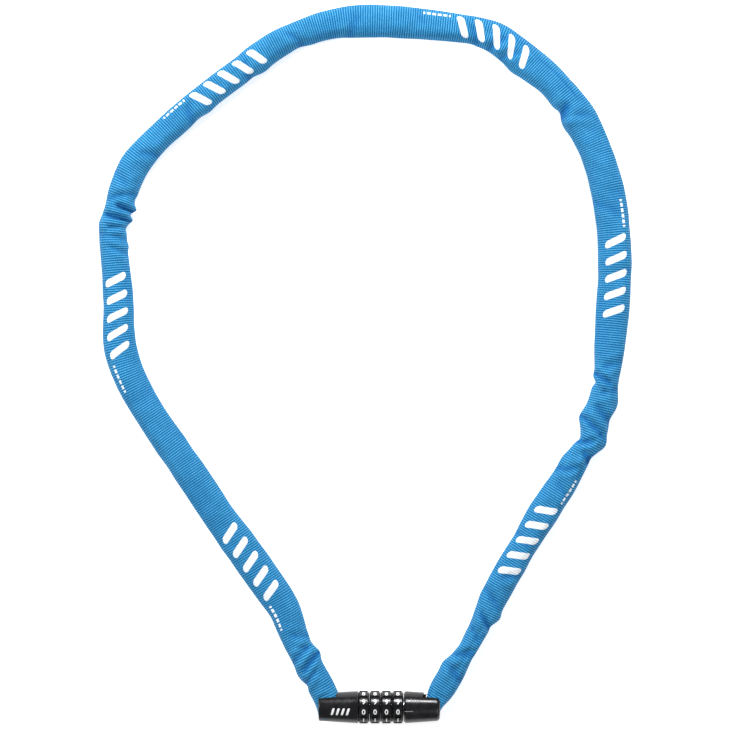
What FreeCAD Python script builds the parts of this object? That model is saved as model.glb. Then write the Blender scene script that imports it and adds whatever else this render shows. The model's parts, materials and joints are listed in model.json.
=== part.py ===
import FreeCAD, Part
import Sketcher
import math
import os
import re

# A four-wheel combination chain lock with a steel chain in a flat woven sleeve.
# The lock lies along X on its wheels, with the floor at z = 0 and the origin under its middle.
# The barrel side is at -X and the plug, which pulls off along +X, is at +X.

Vector, Rotation, Placement = FreeCAD.Vector, FreeCAD.Rotation, FreeCAD.Placement

WHEELS = 4
NUMBERS = 10

SIZES = {
    # whole lock
    "lock_length": f"=barrel_cap_length + {WHEELS} * wheel_pitch + plug_gap + plug_cap_length",
    "wheel_radius": 10.7,
    "barrel_cap_length": 26.0,
    "plug_cap_length": 23.6,
    "plug_gap": 0.4,
    "number_phase": 8.0,
    # number wheels and the code discs inside them
    "wheel_pitch": 7.5,
    "wheel_gap": 0.15,
    "wheel_bevel": 1.2,
    "groove_length": 5.0,
    "groove_width": 2.0,
    "groove_depth": 0.8,
    "disc_radius": 7.2,
    "gate_wall": 3.0,
    "gate_clearance": 0.15,
    "notch_radius": 0.45,
    # barrel tube and what is on it
    "tube_radius": 4.6,
    "tube_seat": 7.5,
    "tube_overhang": 1.2,
    "running_clearance": 0.05,
    "key_clearance": 0.1,
    "washer_thickness": 0.5,
    "ring_thickness": 0.7,
    "ring_radius": 6.2,
    "ring_depth": 0.4,
    "ring_gap": 0.15,
    "ring_opening": 50.0,
    "strip_width": 1.6,
    "strip_thickness": 0.25,
    "strip_groove": 0.75,
    "strip_bump": 2.0,
    # locking pin
    "pin_radius": 3.0,
    "pin_clearance": 0.08,
    "pin_seat": 6.5,
    "pin_point": 1.0,
    "tooth_length": 1.6,
    "tooth_width": 2.0,
    "tooth_reach": 6.0,
    "tooth_clearance": 0.2,
    "plug_recess": 1.4,
    # end caps
    "cap_face_radius": 10.55,
    "cap_end_radius": 9.0,
    "barrel_cap_round": 1.0,
    "plug_cap_round": 2.4,
    "cap_chamfer": 1.0,
    "mouth_height": "=max(ear_gap + 2 * (ear_thickness + rivet_head) + mouth_clearance; "
                    "sleeve_height + sleeve_clearance)",
    "mouth_clearance": 0.6,
    "mouth_depth": "=rivet_radius + link_wire + end_link_play + mouth_space",
    "mouth_space": 0.75,
    "mouth_side": "=link_width / 2 + mouth_side_clearance",
    "mouth_side_clearance": 0.1,
    "barrel_opening_play": 0.8,
    "barrel_opening": "=link_width + barrel_opening_play",
    "plug_opening_play": 0.2,
    "plug_opening": "=link_width + plug_opening_play",
    "opening_slant": 3.5,
    # metal anchors, rivets and cross pins
    "anchor_radius": 7.4,
    "ear_gap": "=(link_width - link_wire) * sin(end_link_roll * 1 deg) + link_wire + ear_clearance",
    "ear_clearance": 0.17,
    "ear_thickness": 1.6,
    "ear_radius": 4.2,
    "rivet_radius": 1.75,
    "rivet_head_radius": 2.7,
    "rivet_head": 0.6,
    "barrel_rivet_inset": 10.0,
    "plug_rivet_inset": 8.0,
    "cross_pin_radius": 0.8,
    "cross_pin_margin": 0.4,
    "barrel_pin_share": 0.6,
    "plug_pin_share": 0.55,
    # chain and sleeve
    "link_wire": 3.5,
    "link_width": "=3 * link_wire + link_side_play",
    "link_side_play": 1.9,
    "link_length": 16.0,
    "link_play": 0.2,
    "end_link_play": 0.5,
    "end_link_roll": 22.0,
    "link_roll": 45.0,
    "sleeve_width": 22.0,
    "sleeve_height": "=(link_width - link_wire) * sin(link_roll * 1 deg) + link_wire"
                     " + 2 * sleeve_wall + sleeve_play",
    "sleeve_play": 0.8,
    "sleeve_clearance": 0.2,
    "sleeve_wall": 0.6,
    "sleeve_split": 1.4,
    "sleeve_start": 1.5,
    "hinge_offset": 15.0,
}

# The middle line of the chain and its sleeve, from each cap to the far side of the loop.
# The two routes share their last run, where the hinge point between the two halves lies.
BARREL_ROUTE = [
    (-33.5, 5.5, 10.7), (-44, 22, 10.7), (-56, 46, 6.6), (-77, 84, 6), (-117, 146, 6),
    (-161, 207, 6), (-174, 243, 6), (-175, 282, 6), (-179, 319, 6), (-167, 353, 6),
    (-142, 382, 6), (-107, 412.5, 6), (-71, 438, 6), (-30, 454, 6), (14, 453.5, 6),
]
PLUG_ROUTE = [
    (38, 6, 10.7), (48, 22, 10.7), (64, 47, 6.6), (81, 80, 6), (100, 112, 6),
    (124, 150, 6), (142, 182, 6), (151, 216, 6), (155, 255, 6), (158, 300, 6),
    (153, 345, 6), (140, 384, 6), (116, 415, 6), (82, 445, 6),
]
ARC_SHARE = 0.45

doc = FreeCAD.newDocument("chain_lock")
sheet = doc.addObject("Spreadsheet::Sheet", "sizes")


def fill_sheet():
    for row, (alias, value) in enumerate(SIZES.items(), 1):
        sheet.set(f"A{row}", alias)
        sheet.set(f"B{row}", str(value))
        sheet.setAlias(f"B{row}", alias)
    doc.recompute()
    doc.recompute()


def size(alias):
    return float(sheet.get(alias))


def bound(formula):
    """Point the size names in a formula at the sheet."""
    return re.sub(r"[a-z]+_[a-z_]+", lambda name: "sizes." + name.group(), formula)


# Places along the lock's axis, as formulas of the driving sizes.
BARREL_END = "(-lock_length / 2)"
PLUG_END = "(lock_length / 2)"
BARREL_FACE = f"({BARREL_END} + barrel_cap_length)"
WHEELS_END = f"({BARREL_FACE} + {WHEELS} * wheel_pitch)"
PLUG_FACE = f"({WHEELS_END} + plug_gap)"
BARREL_RIVET = f"({BARREL_END} + barrel_rivet_inset)"
PLUG_RIVET = f"({PLUG_END} - plug_rivet_inset)"
BARREL_MOUTH = f"({BARREL_RIVET} + mouth_depth)"
PLUG_MOUTH = f"({PLUG_RIVET} - mouth_depth)"
ANCHOR_FACE = f"({BARREL_FACE} - washer_thickness)"
PLUG_SEAT = f"({PLUG_FACE} + plug_recess)"
TUBE_START = f"({ANCHOR_FACE} - tube_seat)"
TUBE_END = f"({WHEELS_END} + tube_overhang)"
DISC_WIDTH = "(wheel_pitch - wheel_gap)"
RECESS = f"({DISC_WIDTH} - gate_wall)"
TOOTH_START = f"({BARREL_FACE} + wheel_gap / 2 + ({RECESS} - tooth_length) / 2)"
DISC_BORE = "(tube_radius + running_clearance)"
TUBE_BORE = "(pin_radius + pin_clearance)"
EAR_REACH = "(ear_gap / 2 + ear_thickness)"


def new_body(name, x="0", angle=None):
    """A body on the lock's axis; angle turns it about that axis."""
    body = doc.addObject("PartDesign::Body", name)
    body.Label = name
    body.Placement = Placement(Vector(), Rotation(Vector(1, 0, 0), 0 if angle is None else 1))
    body.setExpression("Placement.Base.x", bound(x))
    body.setExpression("Placement.Base.z", bound("wheel_radius"))
    if angle:
        body.setExpression("Placement.Rotation.Angle", bound(angle))
    return body


def origin_item(body, role):
    return next(item for item in body.Origin.OriginFeatures if item.Role == role)


def new_sketch(body, name, plane):
    sketch = body.newObject("Sketcher::SketchObject", f"{body.Name}_{name}")
    sketch.AttachmentSupport = [(origin_item(body, plane), "")]
    sketch.MapMode = "FlatFace"
    return sketch


def lift_sketch(sketch, height, angle=0.0):
    """Move a sketch off its plane by a formula, turned about X by an angle in degrees."""
    sketch.AttachmentOffset = Placement(Vector(), Rotation(Vector(1, 0, 0), angle))
    slope = math.radians(angle)
    sketch.setExpression("AttachmentOffset.Base.y", bound(f"-({height}) * {math.sin(slope)}"))
    sketch.setExpression("AttachmentOffset.Base.z", bound(f"({height}) * {math.cos(slope)}"))


def pin_point(sketch, geometry, end, across, up):
    """Hold one point of a sketch at two formulas, measured from the origin."""
    for kind, formula in (("DistanceX", across), ("DistanceY", up)):
        index = sketch.addConstraint(Sketcher.Constraint(kind, -1, 1, geometry, end, 1.0))
        sketch.setExpression(f"Constraints[{index}]", bound(formula))


def draw_outline(sketch, corners):
    """A closed outline of straight lines through corners given as formulas."""
    count = len(corners)
    start = [
        Vector(math.cos(2 * math.pi * i / count), math.sin(2 * math.pi * i / count), 0)
        for i in range(count)
    ]
    for i in range(count):
        sketch.addGeometry(Part.LineSegment(start[i], start[(i + 1) % count]), False)
    for i in range(count):
        sketch.addConstraint(Sketcher.Constraint("Coincident", i, 2, (i + 1) % count, 1))
    for i, (across, up) in enumerate(corners):
        pin_point(sketch, i, 1, across, up)


def draw_circle(sketch, across, up, radius):
    index = sketch.addGeometry(Part.Circle(Vector(), Vector(0, 0, 1), 1.0), False)
    pin_point(sketch, index, 3, across, up)
    last = sketch.addConstraint(Sketcher.Constraint("Radius", index, 1.0))
    sketch.setExpression(f"Constraints[{last}]", bound(radius))


def rectangle(left, right, low, high):
    return [(left, low), (right, low), (right, high), (left, high)]


def turn_outline(body, name, corners, axis="X_Axis"):
    """Turn an outline drawn as (along X, out from the axis) about the body's axis."""
    sketch = new_sketch(body, name + "_outline", "XZ_Plane")
    draw_outline(sketch, corners)
    feature = body.newObject("PartDesign::Revolution", f"{body.Name}_{name}")
    feature.Profile = sketch
    feature.ReferenceAxis = (origin_item(body, axis), [""])
    feature.Angle = 360.0
    return feature


def cut(body, name, sketch, length=None, outward=False, both=False):
    """Pocket a sketch; outward cuts along its normal, and no length cuts right through."""
    pocket = body.newObject("PartDesign::Pocket", f"{body.Name}_{name}")
    pocket.Profile = sketch
    pocket.Type = "Length" if length else "ThroughAll"
    if length:
        pocket.setExpression("Length", bound(length))
    if both:
        pocket.SideType = "Symmetric"
    pocket.Reversed = outward
    return pocket


def add(body, name, sketch, length, both=False, outward=True):
    pad = body.newObject("PartDesign::Pad", f"{body.Name}_{name}")
    pad.Profile = sketch
    pad.setExpression("Length", bound(length))
    if both:
        pad.SideType = "Symmetric"
    pad.Reversed = not outward
    return pad


def repeat_round(body, name, feature, count):
    """Repeat a feature evenly round the lock's axis."""
    pattern = body.newObject("PartDesign::PolarPattern", f"{body.Name}_{name}")
    pattern.Originals = [feature]
    pattern.Axis = (origin_item(body, "X_Axis"), [""])
    pattern.Angle = 360.0
    pattern.Occurrences = count
    body.Tip = pattern
    return pattern


def edges_where(shape, test):
    return [f"Edge{i}" for i, edge in enumerate(shape.Edges, 1) if test(edge)]


def is_ring_at(x, radius):
    """Picks the round edge with a given radius at a given place along the axis."""
    def test(edge):
        curve = edge.Curve
        if not isinstance(curve, Part.Circle):
            return False
        return abs(curve.Center.x - x) < 0.01 and abs(curve.Radius - radius) < 0.01
    return test


def soften(body, kind, name, edges, amount):
    base = body.Tip
    feature = body.newObject(f"PartDesign::{kind}", f"{body.Name}_{name}")
    feature.Base = (base, edges)
    feature.setExpression("Radius" if kind == "Fillet" else "Size", bound(amount))
    return feature


# ---- the two end caps ----

def make_shell(name, end, face, mouth, opening, sign):
    """A moulded cap: a tapered tube, open at its outer end and on the loop's side for the chain."""
    body = new_body(name)
    turn_outline(body, "wall", [
        (end, "0"), (end, "cap_end_radius"), (face, "cap_face_radius"),
        (face, "anchor_radius"), (mouth, "anchor_radius"), (mouth, "0"),
    ])
    doc.recompute()
    at_end = is_ring_at(sign * size("lock_length") / 2, size("cap_end_radius"))
    outer = edges_where(body.Tip.Shape, at_end)
    soften(body, "Fillet", "end_round", outer, name.replace("shell", "cap_round"))
    sketch = new_sketch(body, "mouth_outline", "XY_Plane")
    past_end = f"({end} + ({sign}))"
    inner_edge = f"({end} - ({sign}) * {opening})"
    outer_edge = f"({inner_edge} + ({sign}) * opening_slant)"
    past_side = "(cap_face_radius + 1)"
    draw_outline(sketch, [
        (past_end, "-mouth_side"), (mouth, "-mouth_side"), (mouth, "mouth_side"),
        (inner_edge, "mouth_side"), (outer_edge, past_side), (past_end, past_side),
    ])
    cut(body, "mouth", sketch, length="mouth_height", both=True)
    return body


def make_barrel_shell():
    return make_shell("barrel_shell", BARREL_END, BARREL_FACE, BARREL_MOUTH, "barrel_opening", -1)


def make_plug_shell():
    body = make_shell("plug_shell", PLUG_END, PLUG_FACE, PLUG_MOUTH, "plug_opening", 1)
    doc.recompute()
    face_at = size("lock_length") / 2 - size("plug_cap_length")
    inner = edges_where(body.Tip.Shape, is_ring_at(face_at, size("cap_face_radius")))
    soften(body, "Chamfer", "face_bevel", inner, "cap_chamfer")
    return body


# ---- the metal anchors that hold the chain's two end links ----

def make_anchor(name, mouth, face, rivet, bore, bore_depth, cross_pin, sign):
    """A cast anchor: a round block bored from its face, with two ears for the rivet."""
    body = new_body(name)
    bore_end = f"{face} + ({sign}) * {bore_depth}"
    turn_outline(body, "block", [
        (mouth, "0"), (mouth, "anchor_radius"), (face, "anchor_radius"),
        (face, bore), (bore_end, bore), (bore_end, "0"),
    ])
    ears = new_sketch(body, "ears_outline", "XY_Plane")
    draw_outline(ears, rectangle(mouth, rivet, "-ear_radius", "ear_radius"))
    add(body, "ears", ears, f"2 * {EAR_REACH}", both=True)
    nose = new_sketch(body, "nose_outline", "XY_Plane")
    draw_circle(nose, rivet, "0", "ear_radius")
    add(body, "nose", nose, f"2 * {EAR_REACH}", both=True)
    gap = new_sketch(body, "gap_outline", "XZ_Plane")
    past_ears = f"{rivet} + ({sign}) * (ear_radius + 1)"
    draw_outline(gap, rectangle(mouth, past_ears, "-ear_gap / 2", "ear_gap / 2"))
    cut(body, "gap", gap, both=True)
    hole = new_sketch(body, "rivet_hole_outline", "XY_Plane")
    draw_circle(hole, rivet, "0", "rivet_radius")
    cut(body, "rivet_hole", hole, both=True)
    pin = new_sketch(body, "pin_hole_outline", "XZ_Plane")
    draw_circle(pin, cross_pin, "0", "cross_pin_radius")
    cut(body, "pin_hole", pin, both=True)
    return body


BARREL_CROSS_PIN = f"({ANCHOR_FACE} - barrel_pin_share * tube_seat)"
PLUG_CROSS_PIN = f"({PLUG_SEAT} + plug_pin_share * pin_seat)"


def make_barrel_anchor():
    return make_anchor("barrel_anchor", BARREL_MOUTH, ANCHOR_FACE, BARREL_RIVET,
                       "tube_radius", "tube_seat", BARREL_CROSS_PIN, -1)


def make_plug_anchor():
    return make_anchor("plug_anchor", PLUG_MOUTH, PLUG_SEAT, PLUG_RIVET,
                       "pin_radius", "pin_seat", PLUG_CROSS_PIN, 1)


def make_rivet(name, x):
    """A headed rivet standing across the anchor's ears."""
    body = new_body(name, x=x)
    top = f"({EAR_REACH} + rivet_head)"
    turn_outline(body, "turned", [
        ("0", f"-{top}"), ("rivet_head_radius", f"-{top}"), ("rivet_head_radius", f"-{EAR_REACH}"),
        ("rivet_radius", f"-{EAR_REACH}"), ("rivet_radius", EAR_REACH),
        ("rivet_head_radius", EAR_REACH), ("rivet_head_radius", top), ("0", top),
    ], axis="Z_Axis")
    return body


def make_cross_pin(name, x):
    body = new_body(name, x=x)
    sketch = new_sketch(body, "section", "XZ_Plane")
    draw_circle(sketch, "0", "0", "cross_pin_radius")
    add(body, "rod", sketch, "2 * (anchor_radius - cross_pin_margin)", both=True)
    return body


# ---- the barrel's tube, with what turns and sits on it ----

def make_barrel_tube():
    """The slotted tube that the code discs turn on and the locking pin slides in."""
    body = new_body("barrel_tube", angle="number_phase")
    ring_low = f"({WHEELS_END} + ring_gap)"
    ring_high = f"({ring_low} + ring_thickness)"
    turn_outline(body, "wall", [
        (TUBE_START, TUBE_BORE), (TUBE_START, "tube_radius"), (ring_low, "tube_radius"),
        (ring_low, "tube_radius - ring_depth"), (ring_high, "tube_radius - ring_depth"),
        (ring_high, "tube_radius"), (TUBE_END, "tube_radius"), (TUBE_END, TUBE_BORE),
    ])
    half_key = "(tooth_width / 2 + key_clearance)"
    key = new_sketch(body, "keyway_outline", "XY_Plane")
    draw_outline(key, rectangle(f"{BARREL_FACE} + wheel_gap", f"{TUBE_END} + 1", f"-{half_key}", half_key))
    cut(body, "keyway", key, outward=True)
    groove = new_sketch(body, "strip_groove_outline", "XY_Plane")
    half_groove = "(strip_width / 2 + running_clearance)"
    draw_outline(groove, rectangle(BARREL_FACE, WHEELS_END, f"-{half_groove}", half_groove))
    lift_sketch(groove, "-(tube_radius - strip_groove)")
    cut(body, "strip_groove", groove)
    pin = new_sketch(body, "pin_hole_outline", "XZ_Plane")
    draw_circle(pin, BARREL_CROSS_PIN, "0", "cross_pin_radius")
    pin.AttachmentOffset = Placement(Vector(), Rotation(Vector(1, 0, 0), -size("number_phase")))
    cut(body, "pin_hole", pin, both=True)
    return body


def make_detent_strip():
    """A springy strip along the tube with one bump under each disc, drawn pressed flat."""
    body = new_body("detent_strip", angle="number_phase")
    crest = "sqrt(tube_radius ^ 2 - (strip_width / 2) ^ 2)"
    floor = "(tube_radius - strip_groove)"
    upper, lower = [], []
    for index in range(WHEELS):
        middle = f"({BARREL_FACE} + {index + 1} * wheel_pitch - wheel_gap / 2 - gate_wall / 2)"
        for share, high in ((-0.5, False), (-0.25, True), (0.25, True), (0.5, False)):
            place = f"{middle} + ({share}) * strip_bump"
            low = f"({crest} - strip_thickness)" if high else floor
            lower.append((place, f"-{low}"))
            upper.append((place, f"-({low} + strip_thickness)"))
    ends = (f"{BARREL_FACE} + wheel_gap", f"{WHEELS_END} - wheel_gap")
    lower = [(ends[0], f"-{floor}"), *lower, (ends[1], f"-{floor}")]
    top = f"-({floor} + strip_thickness)"
    upper = [(ends[0], top), *upper, (ends[1], top)]
    sketch = new_sketch(body, "edge_outline", "XZ_Plane")
    draw_outline(sketch, lower + upper[::-1])
    add(body, "strip", sketch, "strip_width", both=True)
    return body


def make_thrust_washer():
    body = new_body("thrust_washer")
    turn_outline(body, "ring", rectangle(ANCHOR_FACE, BARREL_FACE, "tube_radius", "disc_radius - wheel_gap"))
    return body


def make_retaining_ring():
    """An open ring in the tube's groove; its opening leaves the keyway free."""
    body = new_body("retaining_ring", angle="number_phase")
    low = f"({WHEELS_END} + ring_gap)"
    turn_outline(body, "ring", rectangle(low, f"({low} + ring_thickness)",
                                         "tube_radius - ring_depth", "ring_radius"))
    opening = new_sketch(body, "opening_outline", "YZ_Plane")
    far = "(ring_radius + 1)"
    half = f"{far} * tan(ring_opening / 2 * 1 deg)"
    draw_outline(opening, [("0", "0"), (half, far), (f"-{half}", far)])
    cut(body, "opening", opening, both=True)
    return body


def make_code_disc(index):
    """A ring with a room for the tooth, a gated wall that holds it, and notches to click in."""
    body = new_body(f"code_disc_{index + 1}", angle="number_phase",
                    x=f"{BARREL_FACE} + wheel_gap / 2 + {index} * wheel_pitch")
    room = "(tooth_reach + tooth_clearance)"
    turn_outline(body, "ring", [
        ("0", room), ("0", "disc_radius"), (DISC_WIDTH, "disc_radius"),
        (DISC_WIDTH, DISC_BORE), (RECESS, DISC_BORE), (RECESS, room),
    ])
    gate = new_sketch(body, "gate_outline", "XY_Plane")
    half_gate = "(tooth_width / 2 + gate_clearance)"
    draw_outline(gate, rectangle(f"{RECESS} - 1", f"{DISC_WIDTH} + 1", f"-{half_gate}", half_gate))
    cut(body, "gate", gate, length=room, outward=True)
    notch = new_sketch(body, "notch_outline", "YZ_Plane")
    draw_circle(notch, "0", f"-{DISC_BORE}", "notch_radius")
    notch_cut = cut(body, "notch", notch, both=True)
    repeat_round(body, "notches", notch_cut, NUMBERS)
    return body


def make_number_wheel(index):
    """The outer wheel: bevelled rims, and a finger groove between each two numbers."""
    body = new_body(f"number_wheel_{index + 1}", angle="number_phase",
                    x=f"{BARREL_FACE} + wheel_gap / 2 + {index} * wheel_pitch")
    low_rim = "wheel_radius - wheel_bevel"
    turn_outline(body, "ring", [
        ("0", "disc_radius"), ("0", low_rim), ("wheel_bevel", "wheel_radius"),
        (f"{DISC_WIDTH} - wheel_bevel", "wheel_radius"), (DISC_WIDTH, low_rim),
        (DISC_WIDTH, "disc_radius"),
    ])
    groove = new_sketch(body, "groove_outline", "XY_Plane")
    middle = f"({DISC_WIDTH} / 2)"
    draw_outline(groove, rectangle(f"{middle} - groove_length / 2", f"{middle} + groove_length / 2",
                                   "-groove_width / 2", "groove_width / 2"))
    lift_sketch(groove, "wheel_radius - groove_depth", 180.0 / NUMBERS)
    groove_cut = cut(body, "groove", groove, outward=True)
    repeat_round(body, "grooves", groove_cut, NUMBERS)
    return body


def make_locking_pin():
    """The plug's pin, with one tooth for each disc."""
    body = new_body("locking_pin", angle="number_phase")
    tip = f"({BARREL_FACE} + wheel_gap)"
    end = f"({PLUG_SEAT} + pin_seat)"
    turn_outline(body, "rod", [
        (tip, "0"), (tip, "pin_radius - pin_point"), (f"{tip} + pin_point", "pin_radius"),
        (end, "pin_radius"), (end, "0"),
    ])
    for index in range(WHEELS):
        tooth = new_sketch(body, f"tooth_{index + 1}_outline", "XY_Plane")
        start = f"({TOOTH_START} + {index} * wheel_pitch)"
        draw_outline(tooth, rectangle(start, f"{start} + tooth_length", "-tooth_width / 2", "tooth_width / 2"))
        add(body, f"tooth_{index + 1}", tooth, "tooth_reach")
    pin = new_sketch(body, "pin_hole_outline", "XZ_Plane")
    draw_circle(pin, PLUG_CROSS_PIN, "0", "cross_pin_radius")
    pin.AttachmentOffset = Placement(Vector(), Rotation(Vector(1, 0, 0), -size("number_phase")))
    cut(body, "pin_hole", pin, both=True)
    return body


# ---- chain and sleeve ----

def hinge_point():
    """Where the last run passes a little outside the plug's rivet, across the loop from it."""
    low, high = Vector(*BARREL_ROUTE[-1]), Vector(*PLUG_ROUTE[-1])
    x = size("lock_length") / 2 - size("plug_rivet_inset") + size("hinge_offset")
    return low + (high - low) * ((x - low.x) / (high.x - low.x))


def route_wire(points, stop):
    """Straight runs joined by tangent arcs, each as large as its runs allow, up to stop."""
    corners = [Vector(*point) for point in points]
    edges, radii, last = [], [], corners[0]
    for before, corner, after in zip(corners, corners[1:], corners[2:]):
        inward = (before - corner).normalize()
        outward = (after - corner).normalize()
        half_turn = (math.pi - inward.getAngle(outward)) / 2
        set_back = ARC_SHARE * min(before.distanceToPoint(corner), after.distanceToPoint(corner))
        radius = set_back / math.tan(half_turn)
        start, end = corner + inward * set_back, corner + outward * set_back
        towards = (inward + outward).normalize()
        middle = corner + towards * (radius / math.cos(half_turn) - radius)
        edges += [Part.LineSegment(last, start).toShape(), Part.Arc(start, middle, end).toShape()]
        radii.append(radius)
        last = end
    edges.append(Part.LineSegment(last, stop).toShape())
    return Part.Wire(edges), radii


def flat_section(width, height, at, along):
    """A flat tube's outline: straight top and bottom, round edges, square to the route."""
    across = Vector(0, 0, 1).cross(along).normalize()
    up = along.cross(across).normalize()
    half, radius = (width - height) / 2, height / 2
    def place(side, rise):
        return at + across * side + up * rise
    return Part.Wire([
        Part.LineSegment(place(-half, radius), place(half, radius)).toShape(),
        Part.Arc(place(half, radius), place(half + radius, 0), place(half, -radius)).toShape(),
        Part.LineSegment(place(half, -radius), place(-half, -radius)).toShape(),
        Part.Arc(place(-half, -radius), place(-half - radius, 0), place(-half, radius)).toShape(),
    ])


def sweep_level(wire, section):
    """Sweep a section along a route and keep it level."""
    pipe = Part.BRepOffsetAPI.MakePipeShell(wire)
    pipe.setBiNormalMode(Vector(0, 0, 1))
    pipe.setTransitionMode(0)
    pipe.add(section)
    pipe.build()
    pipe.makeSolid()
    return pipe.shape()


def keep_shape(name, shape):
    feature = doc.addObject("Part::Feature", name)
    feature.Label = name
    feature.Shape = shape
    return feature


def make_sleeve(name, points):
    """Half of the woven sleeve: a hollow flat tube, cut short of the hinge point."""
    back = (Vector(*points[-2]) - Vector(*points[-1])).normalize() * (size("sleeve_split") / 2)
    along = (Vector(*points[1]) - Vector(*points[0])).normalize()
    at = Vector(*points[0]) + along * size("sleeve_start")
    wire, radii = route_wire([tuple(at)] + points[1:], hinge_point() + back)
    width, height, wall = size("sleeve_width"), size("sleeve_height"), size("sleeve_wall")
    outer = sweep_level(wire, flat_section(width, height, at, along))
    inner = sweep_level(wire, flat_section(width - 2 * wall, height - 2 * wall, at, along))
    tube = outer.cut(inner)
    def area(w, h):
        return (w - h) * h + math.pi * h * h / 4
    expected = (area(width, height) - area(width - 2 * wall, height - 2 * wall)) * wire.Length
    print(name, "length", round(wire.Length, 1), "volume ratio", round(tube.Volume / expected, 4),
          "radii", [round(radius) for radius in radii])
    return keep_shape(name, tube.Solids[0])


def make_link():
    """One welded link, lying in XY with its length along X."""
    wire, length = size("link_wire"), size("link_length")
    bend = (size("link_width") - wire) / 2
    half = length / 2 + wire / 2 - bend
    path = Part.Wire([
        Part.LineSegment(Vector(-half, bend, 0), Vector(half, bend, 0)).toShape(),
        Part.Arc(Vector(half, bend, 0), Vector(half + bend, 0, 0), Vector(half, -bend, 0)).toShape(),
        Part.LineSegment(Vector(half, -bend, 0), Vector(-half, -bend, 0)).toShape(),
        Part.Arc(Vector(-half, -bend, 0), Vector(-half - bend, 0, 0), Vector(-half, bend, 0)).toShape(),
    ])
    section = Part.Wire(Part.Circle(Vector(-half, bend, 0), Vector(1, 0, 0), wire / 2).toShape())
    return path.makePipeShell([section], True, False)


def make_chain(name, points, rivet):
    """Links from the rivet to the hinge point, each turned a quarter from the one after it."""
    length = size("link_length")
    hold = Vector(rivet, 0, size("wheel_radius"))
    first = (Vector(*points[0]) - hold).normalize()
    # the rivet stands in the end link where the next link's wire would
    crossing = hold - first * (size("rivet_radius") + size("end_link_play") - size("link_play") / 2)
    route, _ = route_wire([tuple(crossing)] + points[1:], hinge_point())
    count = math.ceil(route.Length / (length - size("link_play")))
    joints = route.discretize(Number=count + 1)
    print(name, "links", count, "spacing", round(route.Length / count, 3))
    link = make_link()
    links = []
    for index, (start, end) in enumerate(zip(joints, joints[1:])):
        along = (end - start).normalize()
        across = Vector(0, 0, 1).cross(along).normalize()
        level = Rotation(along, across, Vector(0, 0, 1), "XYZ")
        roll = size("end_link_roll") if index == 0 else size("link_roll")
        roll *= (-1) ** (count - 1 - index)
        turned = level * Rotation(Vector(1, 0, 0), roll)
        piece = link.copy()
        piece.Placement = Placement((start + end) / 2, turned)
        links.append(piece)
    return keep_shape(name, Part.makeCompound(links))


def make_all():
    parts = [make_barrel_shell(), make_barrel_anchor(), make_rivet("barrel_rivet", BARREL_RIVET)]
    parts += [make_barrel_tube(), make_cross_pin("barrel_cross_pin", BARREL_CROSS_PIN)]
    parts += [make_thrust_washer(), make_detent_strip(), make_retaining_ring()]
    for index in range(WHEELS):
        parts += [make_code_disc(index), make_number_wheel(index)]
    parts += [make_plug_shell(), make_plug_anchor(), make_rivet("plug_rivet", PLUG_RIVET)]
    parts += [make_locking_pin(), make_cross_pin("plug_cross_pin", PLUG_CROSS_PIN)]
    half = size("lock_length") / 2
    barrel_route = BARREL_ROUTE + [PLUG_ROUTE[-1]]
    plug_route = PLUG_ROUTE + [BARREL_ROUTE[-1]]
    parts += [
        make_chain("barrel_chain", barrel_route, size("barrel_rivet_inset") - half),
        make_chain("plug_chain", plug_route, half - size("plug_rivet_inset")),
        make_sleeve("barrel_sleeve", barrel_route),
        make_sleeve("plug_sleeve", plug_route),
    ]
    print("hinge point", hinge_point())
    return parts


def check_document():
    for item in doc.Objects:
        for state in ("Invalid", "Error"):
            if state in item.State:
                raise RuntimeError(f"{item.Name} is {state}")
    for item in doc.Objects:
        if item.isDerivedFrom("PartDesign::Pocket"):
            if item.BaseFeature and abs(item.Shape.Volume - item.BaseFeature.Shape.Volume) < 1e-3:
                raise RuntimeError(f"{item.Name} cuts nothing")


def write_parts(parts):
    os.makedirs("parts", exist_ok=True)
    for part in parts:
        shape = part.Shape
        if shape.isNull() or not shape.isValid() or not shape.Solids:
            raise RuntimeError(f"{part.Label} has no valid solid")
        shape.exportStep(f"parts/{part.Label}.step")
        print(part.Label, "solids", len(shape.Solids), "volume", round(shape.Volume, 1))


fill_sheet()
PARTS = make_all()
doc.recompute()
check_document()
write_parts(PARTS)
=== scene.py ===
import json
import math

import bmesh
import bpy
import numpy as np
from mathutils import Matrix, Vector


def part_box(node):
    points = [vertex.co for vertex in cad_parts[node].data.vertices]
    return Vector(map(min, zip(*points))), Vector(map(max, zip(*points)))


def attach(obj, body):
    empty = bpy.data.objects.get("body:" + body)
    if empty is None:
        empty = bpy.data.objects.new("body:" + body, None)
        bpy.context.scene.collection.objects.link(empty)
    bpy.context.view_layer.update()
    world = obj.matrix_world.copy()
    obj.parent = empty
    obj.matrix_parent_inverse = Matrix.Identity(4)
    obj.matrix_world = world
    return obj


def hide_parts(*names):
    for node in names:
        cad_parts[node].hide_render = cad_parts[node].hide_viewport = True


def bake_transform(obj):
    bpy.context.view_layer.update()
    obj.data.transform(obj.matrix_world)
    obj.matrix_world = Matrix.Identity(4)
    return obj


# A four-wheel chain lock seen from straight above, with its woven sleeve lying in a loose loop.
# Metres throughout, in the part's own frame: the lock along X, the loop towards +Y, the floor at 0.

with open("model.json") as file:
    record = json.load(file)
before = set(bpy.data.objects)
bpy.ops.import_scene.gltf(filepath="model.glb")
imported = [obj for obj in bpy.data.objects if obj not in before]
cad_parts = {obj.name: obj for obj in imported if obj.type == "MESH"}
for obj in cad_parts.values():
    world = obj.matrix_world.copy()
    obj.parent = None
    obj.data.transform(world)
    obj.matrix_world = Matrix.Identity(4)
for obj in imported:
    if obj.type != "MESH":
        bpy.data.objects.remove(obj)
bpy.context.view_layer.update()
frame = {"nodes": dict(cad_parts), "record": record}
MM = 0.001

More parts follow.
